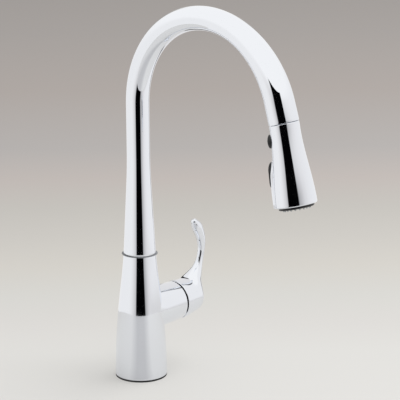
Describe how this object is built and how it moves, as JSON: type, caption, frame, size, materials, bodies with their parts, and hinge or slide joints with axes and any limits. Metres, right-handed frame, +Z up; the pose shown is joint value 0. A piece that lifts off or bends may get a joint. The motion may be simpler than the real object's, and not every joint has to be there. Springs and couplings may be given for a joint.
{
  "type": "kitchen faucet",
  "caption": "Polished chrome pull-down kitchen faucet with a tapered column, high arched swivel spout, side lever and a docked spray head with two keys.",
  "frame": {"origin": "on the deck plane, the underside of the deck gasket, at the axis of the column and its threaded shank", "axes": "+Z up along the column, -Y towards the user along the spout at rest, +X towards the lever"},
  "size_m": [0.1294, 0.275, 0.5172],
  "materials": {
    "chrome": "polished chrome plate on cast and drawn brass",
    "black_plastic": "moulded satin black acetal",
    "grey_plastic": "moulded grey acetal",
    "white_plastic": "moulded white acetal",
    "black_rubber": "moulded black nitrile rubber",
    "nozzle_rubber": "moulded light grey silicone",
    "brass": "machined brass",
    "steel": "machined stainless steel",
    "ceramic": "lapped alumina",
    "magnet": "coated ferrite magnet",
    "hose_braid": "braided grey nylon over a rubber tube"
  },
  "bodies": {
    "column": {"body_shell": "chrome", "deck_gasket": "black_rubber", "swivel_ring": "grey_plastic", "swivel_post": "brass", "spout_retaining_clip": "steel", "mounting_shank": "brass", "mounting_washer": "steel", "mounting_nut": "black_plastic", "tension_screws": "steel", "valve_manifold": "brass", "hot_inlet": "brass", "cold_inlet": "brass", "outlet_tube": "brass", "cartridge_housing": "white_plastic", "seal_plate": "white_plastic", "port_seals": "black_rubber", "fixed_ceramic_disc": "ceramic", "cartridge_nut": "brass", "bonnet": "black_plastic"},
    "spout": {"spout_shell": "chrome", "lower_bush": "white_plastic", "upper_bush": "white_plastic", "dock_collar": "black_plastic", "dock_magnet": "magnet", "hose_guide": "grey_plastic", "pull_down_hose": "hose_braid", "hose_connector": "grey_plastic"},
    "hose_end": {"hose_end_fitting": "brass"},
    "spray_head": {"head_shell": "chrome", "key_bezel": "chrome", "rocker_pin": "steel", "head_neck": "grey_plastic", "neck_seal": "black_rubber", "check_valve": "white_plastic", "head_waterway": "white_plastic", "spray_former": "white_plastic", "spray_face": "black_plastic", "spray_nozzles": "nozzle_rubber", "aerator": "grey_plastic"},
    "button": {"spray_button": "black_plastic"},
    "rocker": {"spray_rocker": "black_plastic"},
    "cartridge_rotor": {"cartridge_rotor": "white_plastic", "pivot_pin": "steel"},
    "moving_disc": {"moving_ceramic_disc": "ceramic"},
    "handle": {"cartridge_stem": "steel", "lever_handle": "chrome", "handle_set_screw": "steel", "set_screw_plug": "grey_plastic"}
  },
  "joints": [
    {"name": "spout_swivel", "type": "hinge", "parent": "column", "child": "spout", "pos_m": [0, 0, 0.1393], "axis": [0, 0, 1], "continuous": true},
    {"name": "head_pull", "type": "slide", "parent": "spout", "child": "hose_end", "axis": [0, -0.2924, -0.9563], "range_m": [0, 0.2], "deforming": ["pull_down_hose"]},
    {"name": "head_swivel", "type": "hinge", "parent": "hose_end", "child": "spray_head", "pos_m": [0, -0.20707, 0.31655], "axis": [0, -0.2924, -0.9563], "continuous": true},
    {"name": "button_press", "type": "slide", "parent": "spray_head", "child": "button", "axis": [0.3395, -0.9273, 0.1577], "range_m": [0, 0.0015], "stiffness_N_per_m": 800},
    {"name": "rocker_tilt", "type": "hinge", "parent": "spray_head", "child": "rocker", "pos_m": [-0.00634, -0.20522, 0.26305], "axis": [-0.9397, -0.3271, 0.1], "range_deg": [-4, 4]},
    {"name": "temperature", "type": "hinge", "parent": "column", "child": "cartridge_rotor", "pos_m": [0.029, 0, 0.0725], "axis": [1, 0, 0], "range_deg": [-45, 45]},
    {"name": "flow", "type": "hinge", "parent": "cartridge_rotor", "child": "handle", "pos_m": [0.029, 0, 0.0725], "axis": [0, 1, 0], "range_deg": [0, 20]},
    {"name": "disc_slide", "type": "slide", "parent": "cartridge_rotor", "child": "moving_disc", "axis": [0, 0, 1], "range_m": [0, 0.0032]}
  ],
  "couplings": [
    {"joint": "disc_slide", "follows": "flow", "m_per_rad": 0.0085}
  ]
}
